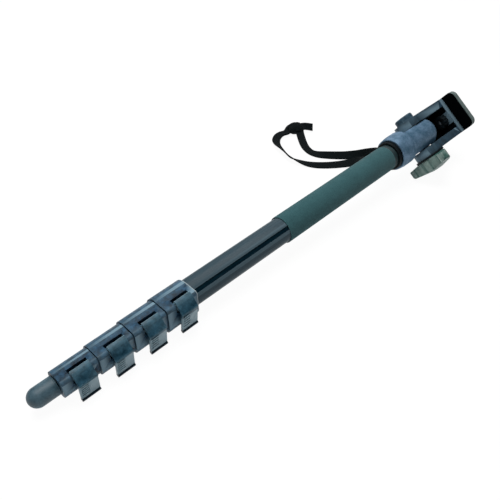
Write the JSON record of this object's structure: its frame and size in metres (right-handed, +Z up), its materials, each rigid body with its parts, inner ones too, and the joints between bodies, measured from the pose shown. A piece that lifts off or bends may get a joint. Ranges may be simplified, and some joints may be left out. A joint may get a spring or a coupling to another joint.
{
  "type": "camera monopod",
  "caption": "Folded camera monopod with telescoping tubes, lever locks, foam grip, tilting camera platform with clamp knob, and a wrist strap.",
  "frame": {"origin": "on the floor, under the middle of the monopod as it lies", "axes": "+X from the foot towards the head, in plan; +Z up; the lever tabs and the knob are on the -Y side"},
  "size_m": [0.5576, 0.2017, 0.0751],
  "materials": {
    "lock_plastic": "satin moulded plastic, worn bright at the edges",
    "lever_plastic": "satin moulded plastic",
    "tube_anodised": "black anodised, semi-gloss",
    "foot_rubber": "matt rubber",
    "shoe_rubber": "matt rubber",
    "nylon": "natural nylon",
    "steel": "bright",
    "brass": "bright",
    "grip_foam": "matt foam rubber",
    "band_print": "satin",
    "neck_cast": "hammered paint on cast metal",
    "yoke_plastic": "satin moulded plastic",
    "knob_plastic": "satin moulded plastic",
    "washer_plastic": "satin",
    "plate_metal": "black paint on sheet metal",
    "pad_rubber": "matt ribbed rubber",
    "webbing": "black woven webbing"
  },
  "bodies": {
    "mast": {"tube_1": "tube_anodised", "housing_1": "lock_plastic", "hinge_pin_1": "steel", "grip_sleeve": "grip_foam", "plain_band": "band_print", "strap_collar": "yoke_plastic", "tube_top_plug": "nylon", "neck": "neck_cast", "neck_set_screws": "steel", "strap_leg_front": "webbing", "strap_leg_back": "webbing", "strap_knot": "webbing"},
    "section_2": {"tube_2": "tube_anodised", "guide_2": "nylon", "housing_2": "lock_plastic", "hinge_pin_2": "steel"},
    "section_3": {"tube_3": "tube_anodised", "guide_3": "nylon", "housing_3": "lock_plastic", "hinge_pin_3": "steel"},
    "section_4": {"tube_4": "tube_anodised", "guide_4": "nylon", "housing_4": "lock_plastic", "hinge_pin_4": "steel"},
    "section_5": {"tube_5": "tube_anodised", "guide_5": "nylon", "foot_plug": "nylon", "rubber_foot": "foot_rubber"},
    "lever_1": {"lever_1": "lever_plastic"},
    "lever_2": {"lever_2": "lever_plastic"},
    "lever_3": {"lever_3": "lever_plastic"},
    "lever_4": {"lever_4": "lever_plastic"},
    "shoe_1": {"brake_shoe_1": "shoe_rubber"},
    "shoe_2": {"brake_shoe_2": "shoe_rubber"},
    "shoe_3": {"brake_shoe_3": "shoe_rubber"},
    "shoe_4": {"brake_shoe_4": "shoe_rubber"},
    "head": {"yoke": "yoke_plastic", "friction_washers": "nylon", "tilt_bolt": "steel", "bolt_cap": "yoke_plastic", "thrust_washer": "washer_plastic", "camera_plate": "plate_metal", "camera_pad": "pad_rubber"},
    "clamp_knob": {"knob": "knob_plastic", "knob_nut": "brass"},
    "camera_screw": {"camera_screw": "steel", "thumb_wheel": "lock_plastic", "retaining_ring": "steel"}
  },
  "joints": [
    {"name": "section_2_slide", "type": "slide", "parent": "mast", "child": "section_2", "axis": [-0.9984, 0, -0.057], "range_m": [0, 0.2239]},
    {"name": "section_3_slide", "type": "slide", "parent": "section_2", "child": "section_3", "axis": [-0.9984, 0, -0.057], "range_m": [0, 0.2333]},
    {"name": "section_4_slide", "type": "slide", "parent": "section_3", "child": "section_4", "axis": [-0.9984, 0, -0.057], "range_m": [0, 0.2427]},
    {"name": "section_5_slide", "type": "slide", "parent": "section_4", "child": "section_5", "axis": [-0.9984, 0, -0.057], "range_m": [0, 0.2521]},
    {"name": "lever_1_hinge", "type": "hinge", "parent": "mast", "child": "lever_1", "pos_m": [-0.14519, -0.00303, 0.03288], "axis": [-0.9984, 0, -0.057], "range_deg": [0, 80]},
    {"name": "shoe_1_slide", "type": "slide", "parent": "mast", "child": "shoe_1", "axis": [-0.0403, -0.7071, 0.706], "range_m": [0, 0.0003]},
    {"name": "lever_2_hinge", "type": "hinge", "parent": "section_2", "child": "lever_2", "pos_m": [-0.17648, -0.00197, 0.03003], "axis": [-0.9984, 0, -0.057], "range_deg": [0, 80]},
    {"name": "shoe_2_slide", "type": "slide", "parent": "section_2", "child": "shoe_2", "axis": [-0.0403, -0.7071, 0.706], "range_m": [0, 0.0003]},
    {"name": "lever_3_hinge", "type": "hinge", "parent": "section_3", "child": "lever_3", "pos_m": [-0.20777, -0.00091, 0.02718], "axis": [-0.9984, 0, -0.057], "range_deg": [0, 80]},
    {"name": "shoe_3_slide", "type": "slide", "parent": "section_3", "child": "shoe_3", "axis": [-0.0403, -0.7071, 0.706], "range_m": [0, 0.0003]},
    {"name": "lever_4_hinge", "type": "hinge", "parent": "section_4", "child": "lever_4", "pos_m": [-0.23906, 0.00015, 0.02433], "axis": [-0.9984, 0, -0.057], "range_deg": [0, 80]},
    {"name": "shoe_4_slide", "type": "slide", "parent": "section_4", "child": "shoe_4", "axis": [-0.0403, -0.7071, 0.706], "range_m": [0, 0.0003]},
    {"name": "head_tilt", "type": "hinge", "parent": "mast", "child": "head", "pos_m": [0.20546, 0.00683, 0.04025], "axis": [0.0327, -0.8192, -0.5726], "range_deg": [-90, 90]},
    {"name": "clamp_knob_turn", "type": "hinge", "parent": "head", "child": "clamp_knob", "pos_m": [0.20644, -0.01774, 0.02307], "axis": [0.0327, -0.8192, -0.5726], "range_deg": [0, 330]},
    {"name": "camera_screw_turn", "type": "hinge", "parent": "head", "child": "camera_screw", "pos_m": [0.27315, 0.00683, 0.04411], "axis": [0.9984, 0, 0.057], "continuous": true}
  ],
  "couplings": [
    {"joint": "shoe_1_slide", "follows": "lever_1_hinge", "m_per_rad": 0.0002},
    {"joint": "shoe_2_slide", "follows": "lever_2_hinge", "m_per_rad": 0.0002},
    {"joint": "shoe_3_slide", "follows": "lever_3_hinge", "m_per_rad": 0.0002},
    {"joint": "shoe_4_slide", "follows": "lever_4_hinge", "m_per_rad": 0.0002}
  ]
}
